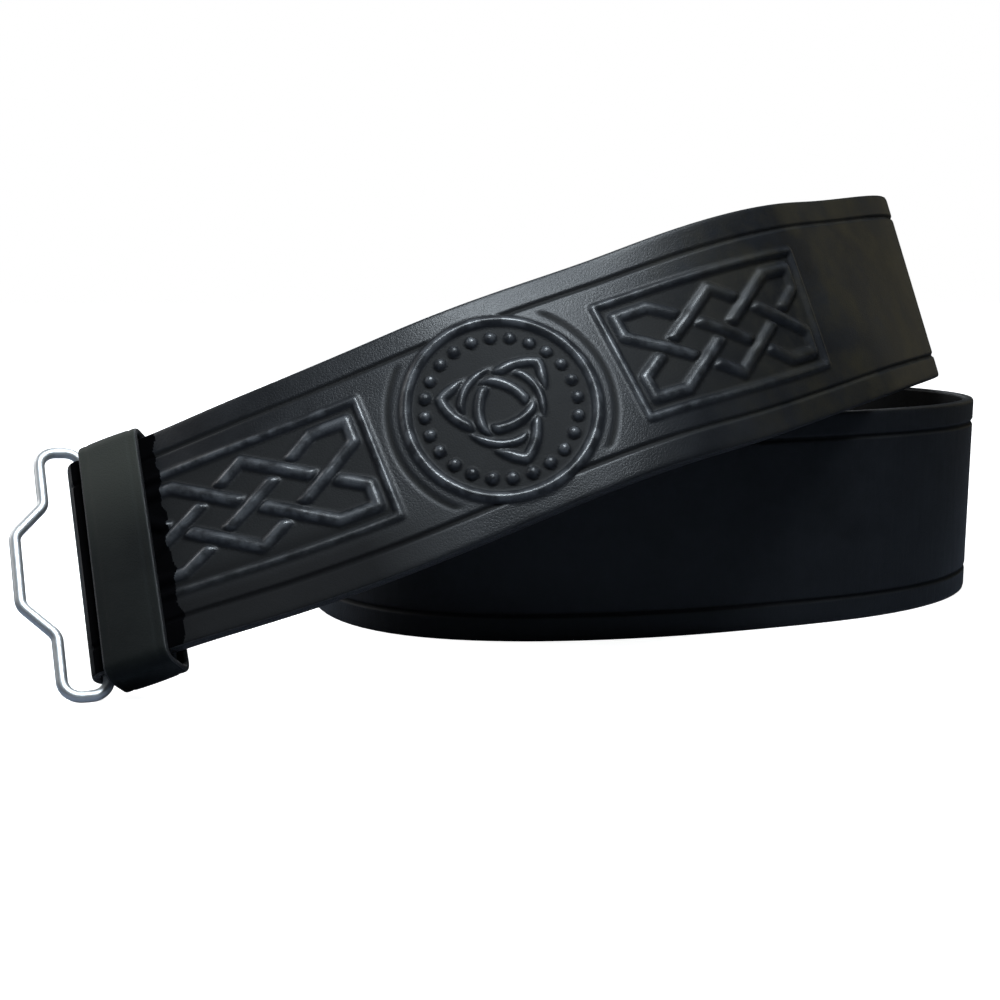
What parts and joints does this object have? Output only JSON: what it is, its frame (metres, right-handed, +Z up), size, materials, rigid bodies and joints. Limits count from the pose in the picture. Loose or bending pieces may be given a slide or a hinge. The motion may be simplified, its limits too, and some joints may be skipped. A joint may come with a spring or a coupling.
{
  "type": "belt",
  "caption": "Wide black leather belt coiled on its edge, embossed with interlace panels and a round medallion, with a keeper band and a bent wire loop in its folded end.",
  "frame": {"origin": "on the surface that the belt stands on, below the middle of the whole belt as it lies coiled", "axes": "+X from the folded end with the wire loop towards the coil's right side, +Y away from the embossed face, +Z up, across the strap's width"},
  "size_m": [0.2548, 0.2133, 0.1162],
  "materials": {
    "strap_leather": "satin",
    "keeper_leather": "satin",
    "loop_steel": "satin"
  },
  "bodies": {
    "belt": {"strap": "strap_leather", "keeper": "keeper_leather"},
    "loop": {"wire_loop": "loop_steel"}
  },
  "joints": [
    {"name": "loop_hinge", "type": "hinge", "parent": "belt", "child": "loop", "pos_m": [-0.10881, -0.08221, 0.0252], "axis": [-0.2573, 0.6164, 0.7442], "range_deg": [-106, 34]}
  ]
}
